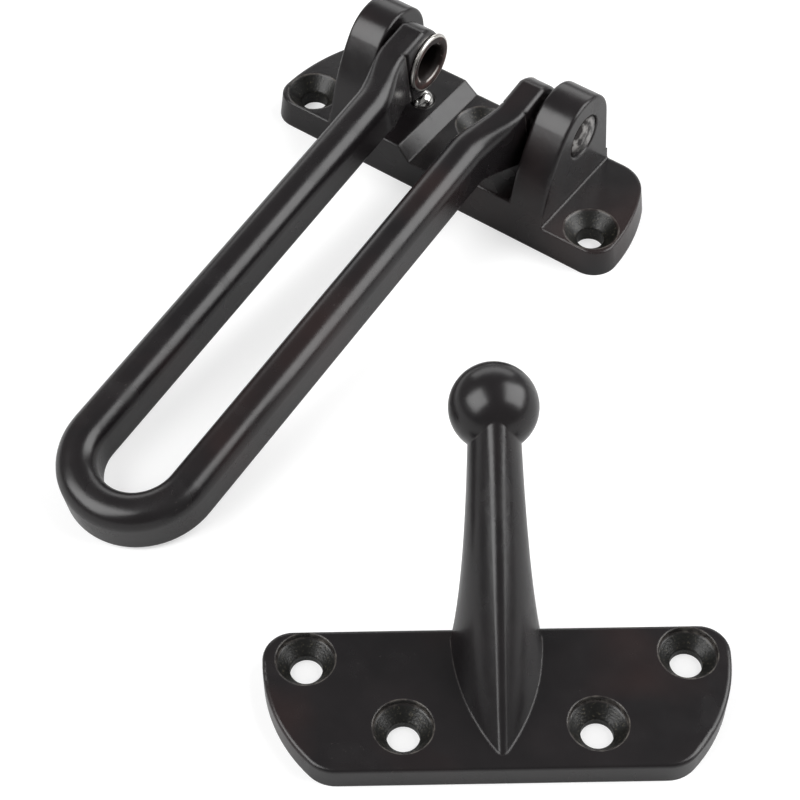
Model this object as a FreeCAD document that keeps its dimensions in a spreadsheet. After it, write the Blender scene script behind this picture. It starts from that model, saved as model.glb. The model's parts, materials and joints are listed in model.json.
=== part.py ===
import FreeCAD, Part
import os
import re

import Sketcher

# A swing bar door guard: a cast hinge base whose two ears carry a looped swing bar on two tubular pins,
# with a sprung ball that drags on one eye, and a separate keeper plate with a ball on a leaning post.
# X runs along the hinge pins, the bar folds out along -Y, and the base lies on the plane Z = 0.

SIZES = {
    # Hinge base, one casting
    "tab_length": 14.6,
    "base_width": 25.6,
    "tab_height": 5.6,
    "pad_height": 8.2,
    "floor_height": 5.5,
    "wall_draft": 7.0,
    "base_near_corner": 5.0,
    "base_end_sweep": 38.0,
    "base_far_corner": 8.0,
    "trough_floor_half": 5.8,
    "trough_top_half": 8.5,
    # Ears of the base
    "ear_outer_half": 25.4,
    "ear_thickness": 7.6,
    "ear_radius": 8.5,
    "ear_head_turn": 36.0,
    "ear_rim_round": 0.6,
    "base_edge_round": 0.4,
    "hinge_y": 1.9,
    "hinge_z": 18.9,
    # Countersunk screw holes
    "screw_bore": 5.4,
    "base_sink": 10.6,
    "keeper_sink": 9.8,
    "keeper_recess": 1.2,
    "sink_angle": 90.0,
    "end_hole_gap": 8.0,
    "end_hole_y": -6.5,
    "middle_hole_y": 5.4,
    # Swing bar, one casting
    "eye_radius": 8.4,
    "eye_thickness": 5.6,
    "eye_gap": 1.1,
    "eye_rim_round": 1.0,
    "arm_width": 7.3,
    "arm_spacing": 22.0,
    "arm_height": 9.2,
    "arm_drop": 0.2,
    "arm_crown": 3.3,
    "arm_foot_round": 0.6,
    "jog_start": 6.4,
    "jog_end": 18.8,
    "web_drop": 7.7,
    "web_start": 3.4,
    "bend_centre": 103.3,
    "rest_gap": 0.05,
    # Hinge pins, pressed in the ears and free in the eyes
    "pin_radius": 4.3,
    "pin_clearance": 0.06,
    "pin_head_proud": 0.7,
    "pin_dome": 10.0,
    "pin_rim_chamfer": 0.4,
    "pin_tail_radius": 6.1,
    "pin_tail_proud": 0.75,
    "pin_tail_gap": 0.15,
    "pin_tail_lip": 0.5,
    "pin_hole_radius": 3.4,
    "pin_mouth_round": 1.5,
    "pin_hole_depth": 10.0,
    # Sprung ball under the left eye
    "detent_inset": 1.2,
    "detent_radius": 2.4,
    "detent_clearance": 0.2,
    "detent_bore_clearance": 0.1,
    "detent_floor": 1.6,
    "spring_wire": 0.6,
    "spring_radius": 1.5,
    "spring_turns": 4.0,
    "spring_gap": 0.05,
    # Ball keeper, one casting
    "keeper_length": 76.8,
    "keeper_width": 26.2,
    "keeper_thickness": 4.8,
    "keeper_far_corner": 5.0,
    "keeper_end_sweep": 28.0,
    "keeper_near_corner": 6.0,
    "keeper_edge_round": 0.7,
    "far_hole_inset": 7.1,
    "far_hole_y": 7.7,
    "near_hole_half": 15.6,
    "near_hole_y": -5.2,
    "keeper_ball_radius": 7.5,
    "ball_y": 38.8,
    "ball_z": 31.0,
    "post_lean": 35.0,
    "post_sink": 0.5,
    "post_foot_tip": -11.4,
    "post_foot_side": 11.0,
    "post_foot_half": 7.6,
    "post_foot_nose": 0.9,
    "post_foot_back": 1.0,
    "post_waist_reach": 24.0,
    "post_waist_turn": 40.0,
    "post_waist_tip": -7.0,
    "post_waist_side": 1.5,
    "post_waist_half": 5.5,
    "post_waist_nose": 1.7,
    "post_waist_back": 3.5,
    "post_neck_tip": -7.0,
    "post_neck_side": 0.0,
    "post_neck_half": 4.25,
    "post_neck_nose": 2.7,
    "post_neck_back": 3.6,
    "keeper_x": 76.6,
    "keeper_y": -102.5,
    "keeper_turn": 36.7,
}

# Places that several parts share, as formulas in the names above
BASE_HALF = "(ear_outer_half + tab_length)"
EYE_INNER = "(ear_outer_half - ear_thickness - eye_gap - eye_thickness)"
DETENT_X = f"(0 - {EYE_INNER} - detent_inset)"
FAR_HOLE_X = "(keeper_length / 2 - far_hole_inset)"

# How many lengths the double bend of an arm is lofted in
JOG_STEPS = 6

doc = FreeCAD.newDocument("door_guard")
sheet = doc.addObject("Spreadsheet::Sheet", "Sizes")


def fill_sheet():
    for row, (alias, value) in enumerate(SIZES.items(), start=1):
        sheet.set(f"A{row}", alias)
        sheet.set(f"B{row}", str(value))
        sheet.setAlias(f"B{row}", alias)
    doc.recompute()


def cell(formula):
    """Turn a formula written with plain size names into one that names the sheet."""
    return re.sub(r"[a-z_]+", lambda word: "Sizes." + word[0] if word[0] in SIZES else word[0], formula)


def measure(formula):
    """Work out a formula with the values now in the sheet."""
    value = sheet.evalExpression(cell(formula))
    return value.Value if hasattr(value, "Value") else float(value)


def bind(thing, **properties):
    for name, formula in properties.items():
        thing.setExpression(name.replace("__", "."), cell(formula))


def origin_plane(body, role):
    return next(item for item in body.Origin.OriginFeatures if item.Role == role)


def new_body(label):
    body = doc.addObject("PartDesign::Body", label)
    body.Label = label
    return body


def turned_about(x, y, z, angle=1):
    """A placement turned about an axis through the origin, whose angle can then be bound."""
    return FreeCAD.Placement(FreeCAD.Vector(), FreeCAD.Rotation(FreeCAD.Vector(x, y, z), angle))


def new_sketch(body, name, plane, shift=None, lift=None, tilt=None):
    """Attach a sketch to one of the body's own planes, shifted in it, lifted off it and tilted about X."""
    sketch = body.newObject("Sketcher::SketchObject", name)
    sketch.AttachmentSupport = [(origin_plane(body, plane), "")]
    sketch.MapMode = "FlatFace"
    if tilt is not None:
        sketch.AttachmentOffset = turned_about(1, 0, 0)
        bind(sketch, AttachmentOffset__Rotation__Angle=tilt)
    if shift is not None:
        bind(sketch, AttachmentOffset__Base__y=shift)
    if lift is not None:
        bind(sketch, AttachmentOffset__Base__z=lift)
    return sketch


def arc_between(start, end, radius):
    """An arc from start to end that turns left when the radius is positive."""
    middle = (start + end) * 0.5
    chord = end - start
    reach = (radius ** 2 - chord.Length ** 2 / 4) ** 0.5
    side = FreeCAD.Vector(-chord.y, chord.x, 0).normalize() * (reach if radius > 0 else -reach)
    centre = middle + side
    bulge = (middle - centre).normalize() * abs(radius)
    return Part.Arc(start, centre + bulge, end)


def place_point(sketch, edge, end, x, y):
    """Hold one end of an edge at the two formulas, on an axis where a formula is nought."""
    for kind, formula, axis in (("DistanceX", x, -2), ("DistanceY", y, -1)):
        if formula == "0":
            sketch.addConstraint(Sketcher.Constraint("PointOnObject", edge, end, axis))
            continue
        index = sketch.addConstraint(Sketcher.Constraint(kind, -1, 1, edge, end, measure(formula)))
        sketch.setExpression(f"Constraints[{index}]", cell(formula))


def outline(sketch, path):
    """Draw a closed outline: each entry is a corner, with the radius of the arc that leaves it, if any."""
    points = [FreeCAD.Vector(measure(entry[0]), measure(entry[1]), 0) for entry in path]
    for index, entry in enumerate(path):
        start = points[index]
        end = points[(index + 1) % len(path)]
        if len(entry) == 3:
            edge = sketch.addGeometry(arc_between(start, end, measure(entry[2])), False)
        else:
            edge = sketch.addGeometry(Part.LineSegment(start, end), False)
        assert edge == index
    flipped = [len(entry) == 3 and measure(entry[2]) < 0 for entry in path]
    for index, entry in enumerate(path):
        following = (index + 1) % len(path)
        leave = 1 if flipped[index] else 2
        enter = 2 if flipped[following] else 1
        sketch.addConstraint(Sketcher.Constraint("Coincident", index, leave, following, enter))
    for index, entry in enumerate(path):
        place_point(sketch, index, 2 if flipped[index] else 1, entry[0], entry[1])
        if len(entry) == 3:
            value = abs(measure(entry[2]))
            number = sketch.addConstraint(Sketcher.Constraint("Radius", index, value))
            sketch.setExpression(f"Constraints[{number}]", cell(f"abs({entry[2]})"))
    return sketch


def circle(sketch, x, y, radius):
    centre = FreeCAD.Vector(measure(x), measure(y), 0)
    edge = sketch.addGeometry(Part.Circle(centre, FreeCAD.Vector(0, 0, 1), measure(radius)), False)
    place_point(sketch, edge, 3, x, y)
    number = sketch.addConstraint(Sketcher.Constraint("Radius", edge, measure(radius)))
    sketch.setExpression(f"Constraints[{number}]", cell(radius))
    return sketch


def pad(body, sketch, length, both_ways=False, taper=None):
    feature = body.newObject("PartDesign::Pad", sketch.Name + "_pad")
    feature.Profile = sketch
    feature.Midplane = both_ways
    bind(feature, Length=length)
    if taper is not None:
        bind(feature, TaperAngle=taper)
    doc.recompute()
    return feature


def pocket(body, sketch, length=None, both_ways=False, reverse=False):
    """Cut a sketch out of the body and make sure that the cut took something away."""
    before = body.Shape.Volume
    feature = body.newObject("PartDesign::Pocket", sketch.Name + "_cut")
    feature.Profile = sketch
    feature.Midplane = both_ways
    feature.Reversed = reverse
    if length is None:
        feature.Type = "ThroughAll"
    else:
        bind(feature, Length=length)
    doc.recompute()
    assert body.Shape.Volume < before, sketch.Name
    return feature


def countersink(body, sketch, sink):
    """Bore and countersink a screw hole at each circle of the sketch."""
    before = body.Shape.Volume
    doc.recompute()
    hole = body.newObject("PartDesign::Hole", sketch.Name + "_hole")
    hole.Profile = sketch
    hole.Threaded = False
    hole.DepthType = "ThroughAll"
    hole.HoleCutType = "Countersink"
    hole.HoleCutCustomValues = True
    bind(hole, Diameter="screw_bore", HoleCutDiameter=sink, HoleCutCountersinkAngle="sink_angle")
    doc.recompute()
    assert body.Shape.Volume < before, sketch.Name
    return hole


def mirror(body, features, plane="YZ_Plane"):
    feature = body.newObject("PartDesign::Mirrored", body.Name + "_mirror")
    feature.Originals = features
    feature.MirrorPlane = (origin_plane(body, plane), [""])
    body.Tip = feature
    doc.recompute()
    return feature


def round_edges(body, radius, choose, name):
    """Round the edges of the body that the test picks out."""
    base = body.Tip
    edges = [f"Edge{number}" for number, edge in enumerate(base.Shape.Edges, start=1) if choose(edge)]
    assert edges, name
    feature = body.newObject("PartDesign::Fillet", name)
    feature.Base = (base, edges)
    bind(feature, Radius=radius)
    doc.recompute()
    return feature


def near(value, target, slack=0.01):
    return abs(value - target) < slack


def plate_path(half, width, long_corner, sweep, short_corner, flip):
    """Outline of both castings: a long straight edge, tight corners, swept ends and a shorter edge."""
    side = f"({width} / 2)"
    turn = f"asin((2 * {side} - {long_corner} - {short_corner}) / ({sweep} - {short_corner}))"
    x_long = f"{half} - {long_corner}"
    y_end = f"({side} - {long_corner})"
    x_join = f"{half} - {sweep} + {sweep} * cos({turn})"
    y_join = f"({y_end} - {sweep} * sin({turn}))"
    x_short = f"{half} - {sweep} + ({sweep} - {short_corner}) * cos({turn})"
    sign = "-1" if flip else "1"
    right = [
        (x_short, f"-{sign} * {side}", short_corner),
        (x_join, f"{sign} * {y_join}", sweep),
        (half, f"{sign} * {y_end}", long_corner),
        (x_long, f"{sign} * {side}"),
    ]
    left = [
        (f"-({x_long})", f"{sign} * {side}", long_corner),
        (f"-({half})", f"{sign} * {y_end}", sweep),
        (f"-({x_join})", f"{sign} * {y_join}", short_corner),
        (f"-({x_short})", f"-{sign} * {side}"),
    ]
    path = right + left
    if not flip:
        return path
    bent = [(x, y) + ((f"-{rest[0]}",) if rest else ()) for x, y, *rest in path]
    return bent


def make_base():
    """The hinge base, one casting: two ears, the slab with its end tabs, and the pads between the ears."""
    body = new_body("bar_base")
    body.AllowCompound = True
    make_ears(body)
    path = plate_path(BASE_HALF, "base_width", "base_near_corner", "base_end_sweep", "base_far_corner", True)
    pad(body, outline(new_sketch(body, "base_outline", "XY_Plane"), path), "tab_height", taper="-wall_draft")
    make_saddle(body)
    round_edges(body, "base_edge_round", is_base_edge, "base_edges")
    make_base_holes(body)
    return body


def make_ears(body):
    """Both ears: a round head, a near side that bulges down to the front wall, and a drafted far side."""
    foot_y = "(pad_height * tan(wall_draft) - base_width / 2)"
    top_y = "(hinge_y - ear_radius * cos(ear_head_turn))"
    top_z = "(hinge_z + ear_radius * sin(ear_head_turn))"
    run = f"({foot_y} - {top_y})"
    rise = f"(pad_height - {top_z})"
    bulge = f"({run} * cos(ear_head_turn) - {rise} * sin(ear_head_turn))"
    profile = new_sketch(body, "ear", "YZ_Plane", lift="ear_outer_half - ear_thickness")
    outline(profile, [
        ("-base_width / 2", "0"),
        ("base_width / 2", "0"),
        ("hinge_y + ear_radius * cos(wall_draft)", "hinge_z + ear_radius * sin(wall_draft)", "ear_radius"),
        (top_y, top_z, f"(({run} ^ 2 + {rise} ^ 2) / (2 * {bulge}))"),
        (foot_y, "pad_height"),
    ])
    ear = pad(body, profile, "ear_thickness")
    rims = round_edges(body, "ear_rim_round", lambda edge: on_side_face(edge, "ear_thickness", "0"), "ear_rims")
    mirror(body, [ear, rims])


def on_side_face(edge, thickness, inset):
    """True for an edge in a flat face of the lug that ends inset from the ears' outer faces, but not at Z = 0."""
    outer = measure(f"ear_outer_half - ({inset})")
    inner = outer - measure(thickness)
    box = edge.BoundBox
    return box.XLength < 0.001 and (near(box.XMin, inner) or near(box.XMin, outer)) and abs(box.ZMax) > 0.1


def is_base_edge(edge):
    """The top edges of the end tabs, the corners at the feet of the ears and the near edges of the pads."""
    box = edge.BoundBox
    tab = measure("tab_height")
    pads = measure("pad_height")
    beyond = max(abs(box.XMin), abs(box.XMax)) > measure("ear_outer_half") - 0.01
    on_tab = near(box.ZMin, tab) and near(box.ZMax, tab) and beyond
    on_pad = near(box.ZMin, pads) and near(box.ZMax, pads) and box.YLength < 0.01 and box.YMin < 0
    return on_tab or on_pad


def make_saddle(body):
    side = "(base_width / 2 - pad_height * tan(wall_draft))"
    section = new_sketch(body, "saddle", "YZ_Plane")
    outline(section, [
        ("base_width / 2", "0"),
        (side, "pad_height"),
        (f"-{side}", "pad_height"),
        ("-base_width / 2", "0"),
    ])
    pad(body, section, "2 * ear_outer_half", both_ways=True)
    rise = "trough_floor_half + (trough_top_half - trough_floor_half) * 1.5"
    trough = new_sketch(body, "trough", "XZ_Plane")
    outline(trough, [
        ("trough_floor_half", "floor_height"),
        (rise, "floor_height + (pad_height - floor_height) * 1.5"),
        (f"-({rise})", "floor_height + (pad_height - floor_height) * 1.5"),
        ("-trough_floor_half", "floor_height"),
    ])
    pocket(body, trough, both_ways=True)


def make_base_holes(body):
    """Bore the ears for the pins, the screw holes and the blind bore of the sprung ball."""
    bore = circle(new_sketch(body, "pin_bore", "YZ_Plane"), "hinge_y", "hinge_z", "pin_radius")
    pocket(body, bore, both_ways=True)
    break_rims(body)
    ends = new_sketch(body, "end_screws", "XY_Plane", lift="tab_height")
    circle(ends, "ear_outer_half + end_hole_gap", "end_hole_y", "screw_bore / 2")
    circle(ends, "-(ear_outer_half + end_hole_gap)", "end_hole_y", "screw_bore / 2")
    countersink(body, ends, "base_sink")
    middle = new_sketch(body, "middle_screw", "XY_Plane", lift="floor_height")
    countersink(body, circle(middle, "0", "middle_hole_y", "screw_bore / 2"), "base_sink")
    well = new_sketch(body, "ball_bore", "XY_Plane", lift="pad_height")
    circle(well, DETENT_X, "hinge_y", "detent_radius + detent_bore_clearance")
    pocket(body, well, "pad_height - detent_floor")


def break_rims(body):
    """Break the outer rims of the pin bores."""
    base = body.Tip
    outer = measure("ear_outer_half")
    middle = measure("hinge_z")
    edges = []
    for number, edge in enumerate(base.Shape.Edges, start=1):
        box = edge.BoundBox
        if box.XLength < 0.001 and near(abs(box.XMin), outer) and near((box.ZMin + box.ZMax) / 2, middle, 0.2):
            if near(box.ZLength, 2 * measure("pin_radius"), 0.2):
                edges.append(f"Edge{number}")
    assert len(edges) == 2
    feature = body.newObject("PartDesign::Chamfer", "bore_rims")
    feature.Base = (base, edges)
    bind(feature, Size="pin_rim_chamfer")
    doc.recompute()


def bar_section(body, name, lift, inner, width, low, high, crown, foot):
    """A D section across one arm, rounded more at its top corners than at its bottom ones."""
    sketch = new_sketch(body, name, "XZ_Plane", lift=lift)
    outer = f"({inner} + {width})"
    return outline(sketch, [
        (f"{inner} + {foot}", low),
        (f"{outer} - {foot}", low, foot),
        (outer, f"{low} + {foot}"),
        (outer, f"{high} - {crown}", crown),
        (f"{outer} - {crown}", high),
        (f"{inner} + {crown}", high, crown),
        (inner, f"{high} - {crown}"),
        (inner, f"{low} + {foot}", foot),
    ])


def make_bar():
    body = new_body("swing_bar")
    low = "(0 - arm_drop)"
    high = "(arm_height - arm_drop)"
    inner = "(arm_spacing / 2 - arm_width / 2)"
    web = "(web_drop - (web_drop - arm_drop) * (jog_start - web_start) / (jog_end - web_start))"
    path = new_sketch(body, "arm_path", "XY_Plane")
    draw_loop(path)
    end = bar_section(body, "arm_section", "jog_end", inner, "arm_width", low, high, "arm_crown", "arm_foot_round")
    loop = body.newObject("PartDesign::AdditivePipe", "loop")
    loop.Profile = end
    loop.Spine = (path, ["Edge1", "Edge2", "Edge3"])
    doc.recompute()
    slab = new_sketch(body, "eye", "YZ_Plane", lift=EYE_INNER)
    outline(slab, [
        ("0", "eye_radius"),
        ("-jog_start", "eye_radius"),
        ("-jog_start", f"-{web}"),
        ("-web_start", "-sqrt(eye_radius ^ 2 - web_start ^ 2)", "eye_radius"),
    ])
    eye = pad(body, slab, "eye_thickness")
    inset = "ear_thickness + eye_gap"
    rims = round_edges(body, "eye_rim_round", lambda edge: on_side_face(edge, "eye_thickness", inset), "eye_rims")
    jog = make_jog(body, inner, low, high)
    mirror(body, [eye, rims, jog])
    bore = circle(new_sketch(body, "eye_bore", "YZ_Plane"), "0", "0", "pin_radius + pin_clearance")
    pocket(body, bore, both_ways=True)
    hang(body)
    return body


def make_jog(body, inner, low, high):
    """Loft the smooth double bend that brings each arm out to its eye while its crown flattens."""
    at_eye = (EYE_INNER, "eye_thickness", "eye_radius", "eye_rim_round", "eye_rim_round")
    at_arm = (inner, "arm_width", high, "arm_crown", "arm_foot_round")
    sections = []
    for step in range(JOG_STEPS + 1):
        share = step / JOG_STEPS
        blend = share ** 2 * (3 - 2 * share)
        place = f"(jog_start + (jog_end - jog_start) * {share})"
        side, width, top, crown, foot = (f"({a} + ({b} - {a}) * {blend})" for a, b in zip(at_eye, at_arm))
        web = f"(web_drop - (web_drop - arm_drop) * ({place} - web_start) / (jog_end - web_start))"
        sections.append(bar_section(body, f"jog_{step}", place, side, width, f"(0 - {web})", top, crown, foot))
    jog = body.newObject("PartDesign::AdditiveLoft", "jog")
    jog.Profile = sections[0]
    jog.Sections = sections[1:]
    doc.recompute()
    return jog


def hang(body):
    """Put the bar on the hinge line and let it fold down until the end of the bend meets the bench."""
    foot = "arm_foot_round"
    reach = f"(bend_centre + arm_spacing / 2 + arm_width / 2 - {foot})"
    depth = f"(arm_drop - {foot})"
    drop = f"(hinge_z - {foot} - rest_gap)"
    droop = f"(asin({drop} / sqrt({reach} ^ 2 + {depth} ^ 2)) - atan({depth} / {reach}))"
    body.Placement = turned_about(1, 0, 0)
    bind(body, Placement__Base__y="hinge_y", Placement__Base__z="hinge_z", Placement__Rotation__Angle=droop)


def make_pin(label, turn):
    """One tubular hinge pin, domed outside the ear and rolled over inside the eye, turned about Z."""
    body = new_body(label)
    outer = "(ear_outer_half + pin_head_proud)"
    sag = "(pin_dome - sqrt(pin_dome ^ 2 - pin_radius ^ 2))"
    back = f"({EYE_INNER} - pin_tail_gap)"
    tail = f"({back} + pin_tail_gap - pin_tail_proud)"
    path = [
        (outer, "0", "pin_dome"),
        (f"{outer} - {sag}", "pin_radius"),
        (back, "pin_radius"),
        (back, "pin_tail_radius"),
        (f"{tail} + pin_tail_lip", "pin_tail_radius", "pin_tail_lip"),
        (tail, "pin_tail_radius - pin_tail_lip"),
        (tail, "pin_hole_radius + pin_mouth_round", "pin_mouth_round"),
        (f"{tail} + pin_mouth_round", "pin_hole_radius"),
        (f"{tail} + pin_hole_depth", "pin_hole_radius"),
        (f"{tail} + pin_hole_depth", "0"),
    ]
    profile = outline(new_sketch(body, label + "_profile", "XY_Plane"), path)
    turned = body.newObject("PartDesign::Revolution", label + "_turned")
    turned.Profile = profile
    turned.ReferenceAxis = (profile, ["H_Axis"])
    doc.recompute()
    body.Placement = turned_about(0, 0, 1, turn)
    bind(body, Placement__Base__y="hinge_y", Placement__Base__z="hinge_z")
    return body


def sphere(body, name, radius, y="0", z="0"):
    """A ball centred in the body's own YZ plane."""
    ball = body.newObject("PartDesign::AdditiveSphere", name)
    ball.AttachmentSupport = [(origin_plane(body, "XY_Plane"), "")]
    ball.MapMode = "FlatFace"
    bind(ball, Radius=radius, AttachmentOffset__Base__y=y, AttachmentOffset__Base__z=z)
    doc.recompute()
    return ball


def make_detent():
    """The sprung ball that drags on the rim of the left eye, and the coil spring under it."""
    ball = new_body("detent_ball")
    sphere(ball, "ball", "detent_radius")
    centre = "(hinge_z - eye_radius - detent_clearance - detent_radius)"
    bind(ball, Placement__Base__x=DETENT_X, Placement__Base__y="hinge_y", Placement__Base__z=centre)
    spring = new_body("detent_spring")
    nest = "sqrt((detent_radius + spring_wire / 2 + spring_gap) ^ 2 - spring_radius ^ 2)"
    start = "(detent_floor + spring_wire / 2 + spring_gap)"
    wire = circle(new_sketch(spring, "wire", "XZ_Plane"), "spring_radius", "0", "spring_wire / 2")
    coil = spring.newObject("PartDesign::AdditiveHelix", "coil")
    coil.Profile = wire
    coil.ReferenceAxis = (wire, ["V_Axis"])
    coil.Mode = "height-turns-angle"
    bind(coil, Height=f"{centre} - {nest} - {start}", Turns="spring_turns")
    doc.recompute()
    bind(spring, Placement__Base__x=DETENT_X, Placement__Base__y="hinge_y", Placement__Base__z=start)
    return [ball, spring]


def make_keeper():
    """The keeper, one casting: a plate on two pairs of screws with a ball on a leaning, ridged post."""
    body = new_body("ball_keeper")
    path = plate_path(
        "keeper_length / 2", "keeper_width", "keeper_far_corner", "keeper_end_sweep", "keeper_near_corner", False,
    )
    pad(body, outline(new_sketch(body, "keeper_outline", "XY_Plane"), path), "keeper_thickness")
    top = measure("keeper_thickness")
    round_edges(body, "keeper_edge_round", lambda edge: near(edge.BoundBox.ZMin, top), "keeper_rim")
    heads = new_sketch(body, "keeper_heads", "XY_Plane", lift="keeper_thickness")
    holes = new_sketch(body, "keeper_screws", "XY_Plane", lift="keeper_thickness - keeper_recess")
    for across, y in ((FAR_HOLE_X, "far_hole_y"), ("near_hole_half", "near_hole_y")):
        for x in (across, f"-{across}"):
            circle(heads, x, y, "keeper_sink / 2")
            circle(holes, x, y, "screw_bore / 2")
    pocket(body, heads, "keeper_recess")
    countersink(body, holes, "keeper_sink")
    make_post(body)
    sphere(body, "keeper_ball", "keeper_ball_radius", "ball_y", "ball_z")
    bind(body, Placement__Base__x="keeper_x", Placement__Base__y="keeper_y", Placement__Rotation__Angle="keeper_turn")
    return body


def make_post(body):
    """Loft the post from its foot on the plate, through a waist, to its neck at the middle of the ball."""
    foot = new_sketch(body, "foot", "XY_Plane", lift="keeper_thickness - post_sink")
    waist = new_sketch(
        body, "waist", "XY_Plane", shift="ball_y - post_waist_reach * cos(post_lean)",
        lift="ball_z - post_waist_reach * sin(post_lean)", tilt="0 - post_waist_turn",
    )
    neck = new_sketch(body, "neck", "XY_Plane", shift="ball_y", lift="ball_z", tilt="post_lean - 90")
    for sketch in (foot, waist, neck):
        post_section(sketch, "post_" + sketch.Name)
    post = body.newObject("PartDesign::AdditiveLoft", "post")
    post.Profile = foot
    post.Sections = [waist, neck]
    doc.recompute()
    return post


def post_section(sketch, group):
    """A pointed arch: a small round nose that runs smoothly into two long sides, and a shallow round back."""
    tip = f"{group}_tip"
    side = f"{group}_side"
    half = f"{group}_half"
    nose = f"{group}_nose"
    depth = f"{group}_back"
    run = f"({side} - {tip} - {nose})"
    flank = f"(({half} ^ 2 + {run} ^ 2 - {nose} ^ 2) / (2 * ({half} - {nose})))"
    join_x = f"({nose} * ({flank} - {half}) / ({flank} - {nose}))"
    join_y = f"({tip} + {nose} - {nose} * {run} / ({flank} - {nose}))"
    return outline(sketch, [
        (f"-{join_x}", join_y, nose),
        (join_x, join_y, flank),
        (half, side, f"(({half} ^ 2 + {depth} ^ 2) / (2 * {depth}))"),
        (f"-{half}", side, flank),
    ])


def draw_loop(sketch):
    """The centre line of the loop: one arm, the bend, the other arm."""
    half = measure("arm_spacing / 2")
    start = measure("jog_end")
    turn = measure("bend_centre")
    corner = FreeCAD.Vector(half, -turn, 0)
    opposite = FreeCAD.Vector(-half, -turn, 0)
    bend = Part.Arc(corner, FreeCAD.Vector(0, -turn - half, 0), opposite)
    sketch.addGeometry(Part.LineSegment(FreeCAD.Vector(half, -start, 0), corner), False)
    sketch.addGeometry(bend, False)
    sketch.addGeometry(Part.LineSegment(opposite, FreeCAD.Vector(-half, -start, 0)), False)
    sketch.addConstraint(Sketcher.Constraint("Coincident", 0, 2, 1, 2))
    sketch.addConstraint(Sketcher.Constraint("Coincident", 1, 1, 2, 1))
    place_point(sketch, 0, 1, "arm_spacing / 2", "-jog_end")
    place_point(sketch, 0, 2, "arm_spacing / 2", "-bend_centre")
    place_point(sketch, 2, 1, "-arm_spacing / 2", "-bend_centre")
    place_point(sketch, 2, 2, "-arm_spacing / 2", "-jog_end")
    number = sketch.addConstraint(Sketcher.Constraint("DistanceY", -1, 1, 1, 3, -turn))
    sketch.setExpression(f"Constraints[{number}]", cell("-bend_centre"))


def check_and_write(bodies):
    for item in doc.Objects:
        assert not {"Invalid", "Error"} & set(item.State), f"{item.Name} failed"
    os.makedirs("parts", exist_ok=True)
    for body in bodies:
        shape = body.Shape
        assert not shape.isNull() and shape.isValid(), body.Label
        shape.exportStep(f"parts/{body.Label}.step")
        print(body.Label, len(shape.Solids), round(shape.Volume, 2), shape.BoundBox)


fill_sheet()
parts = [make_base(), make_bar(), make_pin("right_hinge_pin", 0), make_pin("left_hinge_pin", 180)]
parts += make_detent()
parts.append(make_keeper())
doc.recompute()
check_and_write(parts)
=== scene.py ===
# %% [markdown]
# # A swing bar door guard
#
# The set is two black castings that are screwed to a door and its frame. The first is a base with two
# ears, and a looped bar swings between the ears on two tubular pins. The second is a plate with a ball
# on a leaning post. When the loop is swung over the ball, the door opens only by the length of the slot.
# The solids were modelled in CAD and arrive ready made. This file gives them their finishes, adds the
# small things that a casting has and a drawing leaves out, and sets up the picture.

# %% Load the solids
import json
import math

import bmesh
import bpy
from mathutils import Matrix, Vector


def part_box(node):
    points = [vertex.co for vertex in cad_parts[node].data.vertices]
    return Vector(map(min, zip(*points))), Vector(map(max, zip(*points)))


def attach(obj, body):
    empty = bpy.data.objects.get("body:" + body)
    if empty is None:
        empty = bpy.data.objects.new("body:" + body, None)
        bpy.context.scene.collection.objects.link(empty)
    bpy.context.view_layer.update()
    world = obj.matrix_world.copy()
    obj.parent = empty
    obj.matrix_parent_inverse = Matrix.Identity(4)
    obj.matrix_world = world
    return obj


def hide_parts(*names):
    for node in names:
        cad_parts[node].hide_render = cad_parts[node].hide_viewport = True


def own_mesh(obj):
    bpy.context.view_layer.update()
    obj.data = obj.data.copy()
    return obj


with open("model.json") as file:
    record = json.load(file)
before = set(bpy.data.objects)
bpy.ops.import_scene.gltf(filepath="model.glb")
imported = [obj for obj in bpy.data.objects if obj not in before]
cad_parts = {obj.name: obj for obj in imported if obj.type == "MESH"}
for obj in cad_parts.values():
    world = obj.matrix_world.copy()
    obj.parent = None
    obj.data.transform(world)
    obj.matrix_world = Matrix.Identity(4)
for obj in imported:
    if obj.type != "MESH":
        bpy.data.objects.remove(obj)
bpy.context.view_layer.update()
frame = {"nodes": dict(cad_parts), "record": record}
nodes = frame["nodes"]
print("solids:", sorted(nodes))

# %% [markdown]
# ## The camera
#
# A product photographer stands well back with a long lens, so that the far end of the bar is drawn
# nearly as large as the near one. The camera could be placed by hand, but it is easier to keep right
# when it is worked out from a few plain facts: the point on the table that it looks at, the compass
# direction it stands in, its height above the horizon in degrees, its distance, and its lens.

# %% Camera
aim = Vector((0.02553, -0.05869, 0.0))
camera_azimuth = math.radians(35.6)
camera_elevation = math.radians(51.0)
camera_distance = 0.3753
camera_lens = 92.3
sensor_width = 36.0

flat = math.cos(camera_elevation)
back = Vector((
    math.sin(camera_azimuth) * flat,
    -math.cos(camera_azimuth) * flat,
    math.sin(camera_elevation),
))

camera_data = bpy.data.cameras.new("product_camera")
camera_data.sensor_width = sensor_width
camera_data.lens = camera_lens
camera_data.clip_start = 0.01
camera_data.clip_end = 20.0
camera = bpy.data.objects.new("product_camera", camera_data)
camera.location = aim + back * camera_distance
camera.rotation_mode = "QUATERNION"
camera.rotation_quaternion = (-back).to_track_quat("-Z", "Y")
bpy.context.scene.collection.objects.link(camera)
bpy.context.scene.camera = camera
print("camera at, mm:", [round(1000 * v) for v in camera.location])

# %% [markdown]
# ## White paper
#
# The set lies on a sheet of white paper that fades into the background. A plain diffuse sheet would
# either come out grey or need so much light that the castings lose their black. So the paper keeps a
# plain level of light, and glows a little, for the camera's own rays and for reflections only, by as
# much as it still lacks to reach white. Its soft shadows stay, because the glow is added to them.

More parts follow.
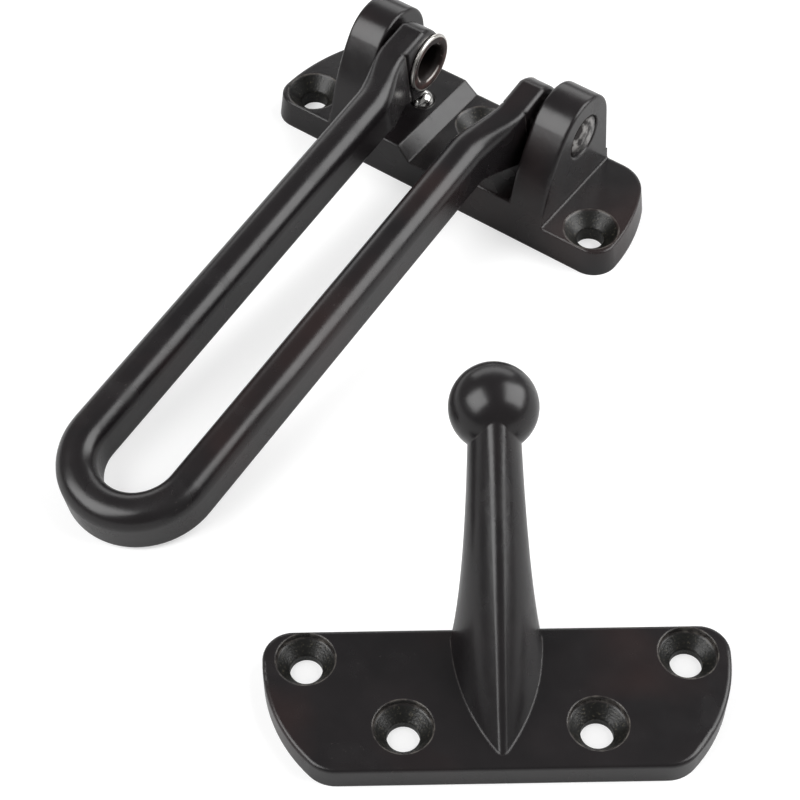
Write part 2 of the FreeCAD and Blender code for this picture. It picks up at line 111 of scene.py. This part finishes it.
# %% Paper
paper_dark = (0.54, 0.54, 0.54)
paper_light = (0.56, 0.56, 0.56)
paper_scale = 40.0
floor_lift = 0.52
mirrored_lift = 0.10


def link(material, a, b):
    material.node_tree.links.new(a, b)


def paper(name):
    material = bpy.data.materials.new(name)
    material.use_nodes = True
    tree = material.node_tree
    tree.nodes.clear()
    output = tree.nodes.new("ShaderNodeOutputMaterial")
    matt = tree.nodes.new("ShaderNodeBsdfDiffuse")
    glow = tree.nodes.new("ShaderNodeEmission")
    both = tree.nodes.new("ShaderNodeAddShader")
    rays = tree.nodes.new("ShaderNodeLightPath")
    mirrored = tree.nodes.new("ShaderNodeMath")
    mirrored.operation = "MULTIPLY"
    mirrored.inputs[1].default_value = mirrored_lift / floor_lift
    seen = tree.nodes.new("ShaderNodeMath")
    seen.operation = "MAXIMUM"
    level = tree.nodes.new("ShaderNodeMath")
    level.operation = "MULTIPLY"
    level.inputs[1].default_value = floor_lift
    place = tree.nodes.new("ShaderNodeTexCoord")
    grain = tree.nodes.new("ShaderNodeTexNoise")
    grain.inputs["Scale"].default_value = paper_scale
    shade = tree.nodes.new("ShaderNodeValToRGB")
    shade.color_ramp.elements[0].color = (*paper_dark, 1.0)
    shade.color_ramp.elements[1].color = (*paper_light, 1.0)
    link(material, place.outputs["Object"], grain.inputs["Vector"])
    link(material, grain.outputs["Fac"], shade.inputs["Fac"])
    link(material, shade.outputs["Color"], matt.inputs["Color"])
    link(material, rays.outputs["Is Camera Ray"], seen.inputs[0])
    link(material, rays.outputs["Is Glossy Ray"], mirrored.inputs[0])
    link(material, mirrored.outputs["Value"], seen.inputs[1])
    link(material, seen.outputs["Value"], level.inputs[0])
    link(material, level.outputs["Value"], glow.inputs["Strength"])
    link(material, matt.outputs["BSDF"], both.inputs[0])
    link(material, glow.outputs["Emission"], both.inputs[1])
    link(material, both.outputs["Shader"], output.inputs["Surface"])
    return material


white_paper = paper("white_paper")
print("paper:", len(white_paper.node_tree.nodes), "nodes")

# %% [markdown]
# ## The sheet on the table
#
# The sheet is a flat grid, a hair's breadth under the castings, so that no two faces share a plane. It
# ends where the lamps grow weak, so that no broad grey band shows behind the set in low views, and the
# white room goes on from there.

# %% Floor
floor_half = 0.62
under_the_castings = 0.00002


def finished(build, name, material):
    """Turns a bmesh into an object with its place in its mesh."""
    mesh = bpy.data.meshes.new(name)
    build.to_mesh(mesh)
    build.free()
    mesh.materials.append(material)
    thing = bpy.data.objects.new(name, mesh)
    bpy.context.scene.collection.objects.link(thing)
    return thing


sheet = bmesh.new()
bmesh.ops.create_grid(sheet, x_segments=4, y_segments=4, size=floor_half)
bmesh.ops.translate(sheet, verts=sheet.verts, vec=(0.0, 0.0, -under_the_castings))
floor = finished(sheet, "paper_floor", white_paper)
print("floor:", len(floor.data.polygons), "faces")

# %% [markdown]
# ## Studio lamps
#
# Black metal is lit by what it mirrors. The long highlights on the arms and the two soft patches on
# the keeper's ball show two large soft boxes, one at each side of the camera and above it. The broad
# grey band over the top of the ball is a wide, weak strip behind the set. Area lamps make all three.
# Their places are given from the camera's point of view: to its right, towards it, and up.

# %% Lamps
right = Vector((math.cos(camera_azimuth), math.sin(camera_azimuth), 0.0))
front = Vector((math.sin(camera_azimuth), -math.cos(camera_azimuth), 0.0))
up = Vector((0.0, 0.0, 1.0))


def soft_box(name, place, width, height, power):
    """A lamp at place that faces the set."""
    data = bpy.data.lights.new(name, "AREA")
    data.shape = "RECTANGLE"
    data.size = width
    data.size_y = height
    data.energy = power
    lamp = bpy.data.objects.new(name, data)
    lamp.location = place
    lamp.rotation_mode = "QUATERNION"
    lamp.rotation_quaternion = (aim - place).to_track_quat("-Z", "Y")
    bpy.context.scene.collection.objects.link(lamp)


left_place = aim - right * 0.61 + front * 0.20 + up * 0.63
right_place = aim + right * 0.68 - front * 0.05 + up * 0.58
far_place = aim - front * 0.95 + up * 0.42
soft_box("left_box", left_place, width=0.70, height=0.70, power=8.6)
soft_box("right_box", right_place, width=0.78, height=0.78, power=10.2)
soft_box("far_strip", far_place, width=1.3, height=0.42, power=3.0)

# %% [markdown]
# ## The room
#
# The world stands for the room's pale walls. It is dim as a light, so that the lamps draw the shapes,
# and paler where the metal mirrors it, so that no side of a casting sinks into plain black. Where the
# camera sees it over the edge of the paper it is white, as the background of the picture.

# %% Room
room_light = 0.09
room_mirrored = 0.28


def pale_room():
    world = bpy.data.worlds.new("pale_room")
    world.use_nodes = True
    tree = world.node_tree
    room = tree.nodes["Background"]
    room.inputs["Color"].default_value = (1.0, 1.0, 1.0, 1.0)
    rays = tree.nodes.new("ShaderNodeLightPath")
    mirrored = tree.nodes.new("ShaderNodeMapRange")
    mirrored.inputs["To Min"].default_value = room_light
    mirrored.inputs["To Max"].default_value = room_mirrored
    brightest = tree.nodes.new("ShaderNodeMath")
    brightest.operation = "MAXIMUM"
    tree.links.new(rays.outputs["Is Glossy Ray"], mirrored.inputs["Value"])
    tree.links.new(mirrored.outputs["Result"], brightest.inputs[0])
    tree.links.new(rays.outputs["Is Camera Ray"], brightest.inputs[1])
    tree.links.new(brightest.outputs["Value"], room.inputs["Strength"])
    return world


bpy.context.scene.world = pale_room()
bpy.context.scene.view_settings.view_transform = "Standard"
print("room:", room_light, "as a light,", room_mirrored, "in reflections")

# %% [markdown]
# ## Patterns for the metal
#
# Every finish here is a tree of shader nodes that reads the Object coordinates, so a pattern stays on
# the metal when the bar swings. A few small helpers keep the trees short. The first ones make numbers:
# a noise of a given scale, which is how often it repeats in a metre, a number that follows another one,
# and two numbers worked into one.

# %% Patterns
def metal_tree(name):
    material = bpy.data.materials.new(name)
    material.use_nodes = True
    shader = material.node_tree.nodes["Principled BSDF"]
    place = material.node_tree.nodes.new("ShaderNodeTexCoord")
    return material, shader, place


def noise(material, place, scale, detail=3.0, stretch=(1.0, 1.0, 1.0)):
    tree = material.node_tree
    turn = tree.nodes.new("ShaderNodeMapping")
    turn.inputs["Scale"].default_value = stretch
    cloud = tree.nodes.new("ShaderNodeTexNoise")
    cloud.inputs["Scale"].default_value = scale
    cloud.inputs["Detail"].default_value = detail
    link(material, place.outputs["Object"], turn.inputs["Vector"])
    link(material, turn.outputs["Vector"], cloud.inputs["Vector"])
    return cloud.outputs["Fac"]


def between(material, value, low, high, start=0.3, end=0.7):
    """A number that goes from low to high as value goes from start to end."""
    spread = material.node_tree.nodes.new("ShaderNodeMapRange")
    spread.inputs["From Min"].default_value = start
    spread.inputs["From Max"].default_value = end
    spread.inputs["To Min"].default_value = low
    spread.inputs["To Max"].default_value = high
    link(material, value, spread.inputs["Value"])
    return spread.outputs["Result"]


def combined(material, kind, a, b=0.0):
    """a and b worked into one number by a Math operation; b is a socket or a plain number."""
    node = material.node_tree.nodes.new("ShaderNodeMath")
    node.operation = kind
    link(material, a, node.inputs[0])
    if isinstance(b, float):
        node.inputs[1].default_value = b
    else:
        link(material, b, node.inputs[1])
    return node.outputs["Value"]


def times(material, a, b):
    return combined(material, "MULTIPLY", a, b)


print("patterns: noise, between, combined, times")

# %% [markdown]
# ## Colours and relief from a pattern
#
# A pattern then drives what the eye sees: a colour between two tones, a plain colour laid over another
# one where the pattern says, and a fine relief. The relief can lie over another normal, so that several
# of them add up. The Mix node has its sockets over again for each kind of value, under the same names,
# so the ones for colours are found by their number.

# %% Colours and relief
first_colour = 6
second_colour = 7
mixed_colour = 2


def two_tones(material, value, dark, light, start=0.35, end=0.65):
    ramp = material.node_tree.nodes.new("ShaderNodeValToRGB")
    ramp.color_ramp.elements[0].position = start
    ramp.color_ramp.elements[0].color = (*dark, 1.0)
    ramp.color_ramp.elements[1].position = end
    ramp.color_ramp.elements[1].color = (*light, 1.0)
    link(material, value, ramp.inputs["Fac"])
    return ramp.outputs["Color"]


def mixed(material, amount, under):
    """A Mix node for colours, with its amount and its first colour linked."""
    mix = material.node_tree.nodes.new("ShaderNodeMix")
    mix.data_type = "RGBA"
    link(material, amount, mix.inputs[0])
    link(material, under, mix.inputs[first_colour])
    return mix


def tinted(material, amount, under, over):
    """The colour under, turned into the plain colour over as amount goes from 0 to 1."""
    mix = mixed(material, amount, under)
    mix.inputs[second_colour].default_value = (*over, 1.0)
    return mix.outputs[mixed_colour]


def relief(material, height, depth, strength=1.0, over=None):
    bump = material.node_tree.nodes.new("ShaderNodeBump")
    bump.inputs["Strength"].default_value = strength
    bump.inputs["Distance"].default_value = depth
    link(material, height, bump.inputs["Height"])
    if over is not None:
        link(material, over, bump.inputs["Normal"])
    return bump.outputs["Normal"]


print("colours and relief: two_tones, mixed, tinted, relief")

# %% [markdown]
# ## Where the edges are
#
# A cast edge is never a knife edge, and paint wears off it first. The Bevel node looks round a point
# within a small radius and gives the normal that a rounded edge would have there. Used as the normal,
# it puts the thin line of light along each rim. Compared with the plain normal, it tells where an
# edge is, so the same node also places the edges' lighter colour, which is partly wear and partly a
# painted highlight.

# %% Edges
edge_samples = 6


def eased(material, radius):
    bevel = material.node_tree.nodes.new("ShaderNodeBevel")
    bevel.samples = edge_samples
    bevel.inputs["Radius"].default_value = radius
    return bevel.outputs["Normal"]


def edge_amount(material, eased_normal):
    """0 on open faces and 1 on an edge."""
    tree = material.node_tree
    plain = tree.nodes.new("ShaderNodeNewGeometry")
    agree = tree.nodes.new("ShaderNodeVectorMath")
    agree.operation = "DOT_PRODUCT"
    link(material, plain.outputs["True Normal"], agree.inputs[0])
    link(material, eased_normal, agree.inputs[1])
    return between(material, agree.outputs["Value"], 1.0, 0.0, start=0.86, end=0.985)


print("edges are read with", edge_samples, "samples")

# %% [markdown]
# ## Where the screw holes are
#
# The countersinks have a finish of their own, so the paint has to know where they are. Their places
# come from the record's mounts. The keeper lies turned on the table, so its two pairs of holes are
# worked out along its own length.

# %% Screw places
mounts = {mount["name"]: mount for mount in frame["record"]["mounts"]}
keeper_turn = math.radians(36.7)


def pair_of_screws(mount, spacing, turn=0.0):
    middle = Vector(mounts[mount]["pos_m"])
    reach = Vector((math.cos(turn), math.sin(turn), 0.0)) * spacing / 2
    return [middle - reach, middle + reach]


def across(mount, measure):
    return mounts[mount]["dims"][measure] / 1000


base_screws = pair_of_screws("base_end_screws", across("base_end_screws", "spacing_x_mm"))
base_screws.append(Vector(mounts["base_middle_screw"]["pos_m"]))
keeper_screws = []
for pair in ("keeper_far_screws", "keeper_near_screws"):
    keeper_screws += pair_of_screws(pair, across(pair, "pcd_mm"), keeper_turn)
print("screws:", len(base_screws), "in the base,", len(keeper_screws), "in the keeper")

# %% [markdown]
# ## Rough countersinks
#
# The countersinks are left rough from the mould. The paint is thin there and its cone is painted
# darker, as shade in the recess; grains of bare metal show in it, painted lighter as glints, and a thin
# light ring round the rim is partly rubbed bare and partly a painted highlight. A mask could be painted
# by hand, but distance does it better: one tree measures how far a point is, seen from above, from the
# nearest screw, and all that is nearer than the countersink's radius gets the rough finish.

# %% Countersinks
# Painted shade: the countersinks' cones are darkened as if shade fell in the recess.
sink_painted_shade = (0.0045, 0.0044, 0.0036)
# Bare grains whose glint is painted in as a lighter colour.
grain_and_painted_glint = (0.0600, 0.0540, 0.0400)
# The rim ring is partly rubbed bare and partly a painted highlight.
rim_wear_and_highlight = (0.1100, 0.1000, 0.0900)
grain_scale = 2600.0
grain_depth = 0.00005
sink_dullness = 0.14
rough_inside = 0.00035
painted_inside = 0.00015
rim_half = 0.00010
rim_fade = 0.00024


def from_screw(material, place, screws):
    """How far a point is from the nearest screw's axis."""
    tree = material.node_tree
    level = tree.nodes.new("ShaderNodeVectorMath")
    level.operation = "MULTIPLY"
    level.inputs[1].default_value = (1.0, 1.0, 0.0)
    link(material, place.outputs["Object"], level.inputs[0])
    nearest = None
    for screw in screws:
        far = tree.nodes.new("ShaderNodeVectorMath")
        far.operation = "DISTANCE"
        far.inputs[1].default_value = (screw.x, screw.y, 0.0)
        link(material, level.outputs["Vector"], far.inputs[0])
        reach = far.outputs["Value"]
        nearest = reach if nearest is None else combined(material, "MINIMUM", nearest, reach)
    return nearest


def rough_sinks(material, place, screws, sink, chipped, tint, gloss, normal):
    """The paint's colour, gloss and normal, with rough countersinks of the radius sink laid over them."""
    away = from_screw(material, place, screws)
    in_sink = between(material, away, 1.0, 0.0, start=sink - rough_inside, end=sink - painted_inside)
    grain = noise(material, place, grain_scale, detail=1.0)
    glint = between(material, grain, 0.0, 1.0, start=0.60, end=0.76)
    off_rim = combined(material, "ABSOLUTE", combined(material, "SUBTRACT", away, sink))
    rim = between(material, off_rim, 1.0, 0.0, start=rim_half, end=rim_fade)
    # Painted shade: the cone is darkened as the inside of a recess.
    tint = tinted(material, in_sink, tint, sink_painted_shade)
    # The light ring round the rim: partly wear, partly a painted highlight.
    tint = tinted(material, times(material, rim, chipped), tint, rim_wear_and_highlight)
    # The grains are lightened in colour as painted glints.
    tint = tinted(material, times(material, in_sink, glint), tint, grain_and_painted_glint)
    gloss = combined(material, "ADD", gloss, times(material, in_sink, sink_dullness))
    normal = relief(material, times(material, grain, in_sink), grain_depth, over=normal)
    return tint, gloss, normal


print("countersinks: grains", round(1000 / grain_scale, 2), "mm apart")

# %% [markdown]
# ## Satin black paint
#
# All three castings have the same thin satin black coat. Baked paint is never quite flat: it has a
# faint orange peel about a millimetre across, dull scuffs, and places where handling has rubbed it to
# a red brown. The tree is built up in that order: the colour of the coat, the rubbed places, the edges,
# lightened partly as wear and partly as a painted highlight, specks of grit in the scuffs, and last the
# countersinks, with their painted shade, glints and rim highlight.

# %% Black paint
coat_dark = (0.0068, 0.0058, 0.0064)
coat_light = (0.0100, 0.0082, 0.0088)
rubbed = (0.0190, 0.0105, 0.0100)
# A pale tone for wear and grit, also used as a painted highlight along the edges.
pale_wear_and_highlight = (0.0600, 0.0520, 0.0500)
coat_scale = 90.0
rubbed_scale = 42.0
chip_scale = 620.0
speck_scale = 1900.0
scuff_scale = 130.0
gloss_scale = 240.0
peel_scale = 1100.0
peel_depth = 0.00002
peel_strength = 0.45
paint_gloss = (0.215, 0.275)
paint_ior = 1.45
scuff_dullness = 0.12


def black_paint(name, softness, screws=(), sink=0.0):
    """softness is the radius of the edges, and sink that of the countersinks round the screws."""
    material, shader, place = metal_tree(name)
    soft = eased(material, softness)
    edge = edge_amount(material, soft)
    tint = two_tones(material, noise(material, place, coat_scale), coat_dark, coat_light)
    handled = noise(material, place, rubbed_scale, detail=2.0)
    tint = tinted(material, between(material, handled, 0.0, 0.7, start=0.55, end=0.72), tint, rubbed)
    chipped = between(material, noise(material, place, chip_scale), 0.15, 0.8, start=0.42, end=0.62)
    # The edges, concave ones too, are lightened partly as wear and partly as a painted highlight.
    tint = tinted(material, times(material, edge, chipped), tint, pale_wear_and_highlight)
    grit = noise(material, place, speck_scale, detail=1.0)
    specks = between(material, grit, 0.0, 1.0, start=0.70, end=0.76)
    dull = noise(material, place, scuff_scale, detail=2.0)
    scuffed = between(material, dull, 0.0, 0.5, start=0.56, end=0.68)
    tint = tinted(material, times(material, specks, scuffed), tint, pale_wear_and_highlight)
    gloss = between(material, noise(material, place, gloss_scale), *paint_gloss)
    gloss = combined(material, "ADD", gloss, times(material, scuffed, scuff_dullness))
    peel = noise(material, place, peel_scale, detail=2.0)
    normal = relief(material, peel, peel_depth, peel_strength, over=soft)
    if screws:
        tint, gloss, normal = rough_sinks(material, place, screws, sink, chipped, tint, gloss, normal)
    shader.inputs["Metallic"].default_value = 0.0
    shader.inputs["IOR"].default_value = paint_ior
    link(material, tint, shader.inputs["Base Color"])
    link(material, gloss, shader.inputs["Roughness"])
    link(material, normal, shader.inputs["Normal"])
    return material


print("paint: orange peel", round(1000 / peel_scale, 2), "mm across")

# %% [markdown]
# ## Painting the castings
#
# Each casting gets its own copy of the paint, because their edges and countersinks differ in size: the
# bar has the softest edges, and the keeper's countersinks are a little smaller than the base's. A solid
# from CAD keeps its mesh, and only its material slot is filled.

# %% Castings
base_edge = 0.00062
keeper_edge = 0.00048
bar_edge = 0.00085
base_sink = 0.0053
keeper_sink = 0.0049


def dress(node, material):
    mesh = nodes[node].data
    mesh.materials.clear()
    mesh.materials.append(material)
    print("dressed", node, "in", material.name)


dress("bar_base", black_paint("satin_black_base_coat", base_edge, base_screws, base_sink))
dress("ball_keeper", black_paint("satin_black_keeper_coat", keeper_edge, keeper_screws, keeper_sink))
dress("swing_bar", black_paint("satin_black_bar_coat", bar_edge))

# %% [markdown]
# ## Which part of a pin is where
#
# The two pins have several finishes, and all of them lie round the hinge's axis. So the tones follow
# the distance from that axis, which is the same for both pins, and the distance from the middle of the
# hinge tells the inner end of a pin, in the bar's eye, from its outer end, in the ear.

# %% Pin places
hinge = frame["record"]["behaviour"]["joints"][0]["pos_m"]
inner_end = 0.018
outer_end = 0.022


def from_axis(material, place):
    """How far a point is from the hinge's axis."""
    tree = material.node_tree
    centred = tree.nodes.new("ShaderNodeVectorMath")
    centred.operation = "SUBTRACT"
    centred.inputs[1].default_value = (0.0, hinge[1], hinge[2])
    level = tree.nodes.new("ShaderNodeVectorMath")
    level.operation = "MULTIPLY"
    level.inputs[1].default_value = (0.0, 1.0, 1.0)
    reach = tree.nodes.new("ShaderNodeVectorMath")
    reach.operation = "LENGTH"
    link(material, place.outputs["Object"], centred.inputs[0])
    link(material, centred.outputs["Vector"], level.inputs[0])
    link(material, level.outputs["Vector"], reach.inputs[0])
    return reach.outputs["Value"]


def in_the_ear(material, place):
    """0 at the inner end of either pin and 1 at its outer end."""
    split = material.node_tree.nodes.new("ShaderNodeSeparateXYZ")
    link(material, place.outputs["Object"], split.inputs["Vector"])
    sideways = combined(material, "ABSOLUTE", split.outputs["X"])
    return between(material, sideways, 0.0, 1.0, start=inner_end, end=outer_end)


print("hinge axis at, mm:", [round(1000 * v, 2) for v in hinge])

# %% [markdown]
# ## Nickel pins
#
# Each hinge pin is a short tube. Its inner end is rolled over into a flange: a bright nickel lip, a
# dished ring with old red-brown dirt in it, a broken bright line at the mouth, and a bore painted dark
# as shade. Its outer end is a dome in the ear, dark and dull, with the plating worn through in patches
# and a line of painted shade round it, where it sits in the ear. Where the metal is bare the tree is
# fully metallic and smooth, and where dirt or the bore's painted shade lies on it, it is less of both.

# %% Pins
nickel = (0.62, 0.60, 0.57)
old_dirt = (0.016, 0.009, 0.008)
dirt_light = (0.10, 0.052, 0.046)
# Painted shade for the inside of the bore and the gap round the dome.
hollow_painted_shade = (0.009, 0.006, 0.005)
worn_steel = (0.040, 0.037, 0.037)
bare_patch = (0.34, 0.33, 0.32)
bore_radius = 0.00385
dome_radius = 0.00395
mouth_radius = 0.00415
lip_radius = 0.00550
bore_fade = 0.0002
dome_fade = 0.00017
lip_fade = 0.00015
line_half = 0.00008
line_fade = 0.00022
patch_scale = 520.0
mark_scale = 900.0
mark_depth = 0.00003
mark_strength = 0.6
pin_gloss = (0.22, 0.40)
dirt_dullness = 0.24
dirt_metallic = 0.55


def pin_metal(name):
    material, shader, place = metal_tree(name)
    outside = in_the_ear(material, place)
    radius = from_axis(material, place)
    patches = noise(material, place, patch_scale)

    lip = between(material, radius, 0.0, 1.0, start=lip_radius, end=lip_radius + lip_fade)
    off_line = combined(material, "ABSOLUTE", combined(material, "SUBTRACT", radius, mouth_radius))
    mouth_line = between(material, off_line, 1.0, 0.0, start=line_half, end=line_fade)
    broken = between(material, patches, 0.0, 1.0, start=0.46, end=0.56)
    bare = combined(material, "MAXIMUM", lip, times(material, mouth_line, broken))
    in_bore = between(material, radius, 1.0, 0.0, start=bore_radius, end=bore_radius + bore_fade)
    ring = two_tones(material, patches, old_dirt, dirt_light, start=0.42, end=0.70)
    ring = tinted(material, bare, ring, nickel)
    # Painted shade: the bore is darkened as the inside of a hollow.
    ring = tinted(material, in_bore, ring, hollow_painted_shade)

    # Painted shade: a dark line round the dome, where it sits in the ear.
    dome_gap_shade = between(material, radius, 0.0, 0.9, start=dome_radius, end=dome_radius + dome_fade)
    dome = two_tones(material, patches, worn_steel, bare_patch, start=0.46, end=0.62)
    dome = tinted(material, dome_gap_shade, dome, hollow_painted_shade)
    either = mixed(material, outside, ring)
    link(material, dome, either.inputs[second_colour])

    clean = combined(material, "MAXIMUM", bare, outside)
    metallic = between(material, clean, dirt_metallic, 1.0, start=0.0, end=1.0)
    dull = between(material, clean, dirt_dullness, 0.0, start=0.0, end=1.0)
    gloss = combined(material, "ADD", between(material, patches, *pin_gloss), dull)
    turned = noise(material, place, mark_scale, detail=2.0, stretch=(6.0, 1.0, 1.0))
    link(material, metallic, shader.inputs["Metallic"])
    link(material, either.outputs[mixed_colour], shader.inputs["Base Color"])
    link(material, gloss, shader.inputs["Roughness"])
    link(material, relief(material, turned, mark_depth, mark_strength), shader.inputs["Normal"])
    return material


pins = pin_metal("nickel_and_worn_steel")
for node in ("left_hinge_pin", "right_hinge_pin"):
    dress(node, pins)

# %% [markdown]
# ## The sprung ball
#
# A small hardened ball presses up from the base against one eye of the bar, so that the bar stays
# where it is put. It is polished, with faint scuffs, and the finish needs only two soft noises.

# %% Ball
ball_tone = (0.66, 0.65, 0.63)
ball_gloss = (0.10, 0.20)
steel_tone_scale = 700.0
steel_gloss_scale = 1500.0
shade_of_steel = 0.8


def bright_steel(name, tone, gloss_range):
    material, shader, place = metal_tree(name)
    darker = tuple(shade_of_steel * part for part in tone)
    tint = two_tones(material, noise(material, place, steel_tone_scale), darker, tone)
    gloss = between(material, noise(material, place, steel_gloss_scale), *gloss_range)
    shader.inputs["Metallic"].default_value = 1.0
    link(material, tint, shader.inputs["Base Color"])
    link(material, gloss, shader.inputs["Roughness"])
    return material


dress("detent_ball", bright_steel("polished_ball_steel", ball_tone, ball_gloss))

# %% [markdown]
# ## The coil under it
#
# The ball sits on a coil of drawn wire, four turns with an open pitch, which shortens when the eye
# pushes the ball down. It could be a curve with a round bevel, but a spin does it in one step: a small
# circle, the wire's section, is turned about the upright axis while each step also lifts it. The two
# ends are then closed, and only the faces along the wire are shaded smooth.

# %% Coil
wire = 0.0006
wire_sides = 14
turns = 4
steps_a_turn = 28
wire_tone = (0.50, 0.49, 0.47)
wire_gloss = (0.25, 0.35)
coil_low, coil_high = (Vector(corner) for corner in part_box("detent_spring"))
ball_low, ball_high = (Vector(corner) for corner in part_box("detent_ball"))
coil_axis = (ball_low + ball_high) / 2
coil_radius = (coil_high.x - coil_low.x - wire) / 2
rise = coil_high.z - coil_low.z - wire

coil = bmesh.new()
wire_start = Vector((coil_axis.x + coil_radius, coil_axis.y, coil_low.z + wire / 2))
standing = Matrix.Translation(wire_start) @ Matrix.Rotation(math.pi / 2, 4, "X")
bmesh.ops.create_circle(coil, cap_ends=False, segments=wire_sides, radius=wire / 2, matrix=standing)
steps = turns * steps_a_turn
bmesh.ops.spin(
    coil, geom=coil.verts[:] + coil.edges[:], cent=coil_axis, axis=up, angle=2 * math.pi * turns,
    dvec=(0.0, 0.0, rise / steps), steps=steps, use_merge=False, use_duplicate=False,
)
open_ends = [edge for edge in coil.edges if edge.is_boundary]
bmesh.ops.holes_fill(coil, edges=open_ends, sides=wire_sides)
bmesh.ops.recalc_face_normals(coil, faces=coil.faces)
for face in coil.faces:
    face.smooth = len(face.verts) == 4
coil_steel = bright_steel("drawn_spring_wire", wire_tone, wire_gloss)
spring = finished(coil, "ball_spring", coil_steel)
dress("detent_spring", coil_steel)
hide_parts("detent_spring")
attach(spring, "base")
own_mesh(spring)
print("coil:", len(spring.data.polygons), "faces, mm high:", round(1000 * (coil_high.z - coil_low.z), 2))
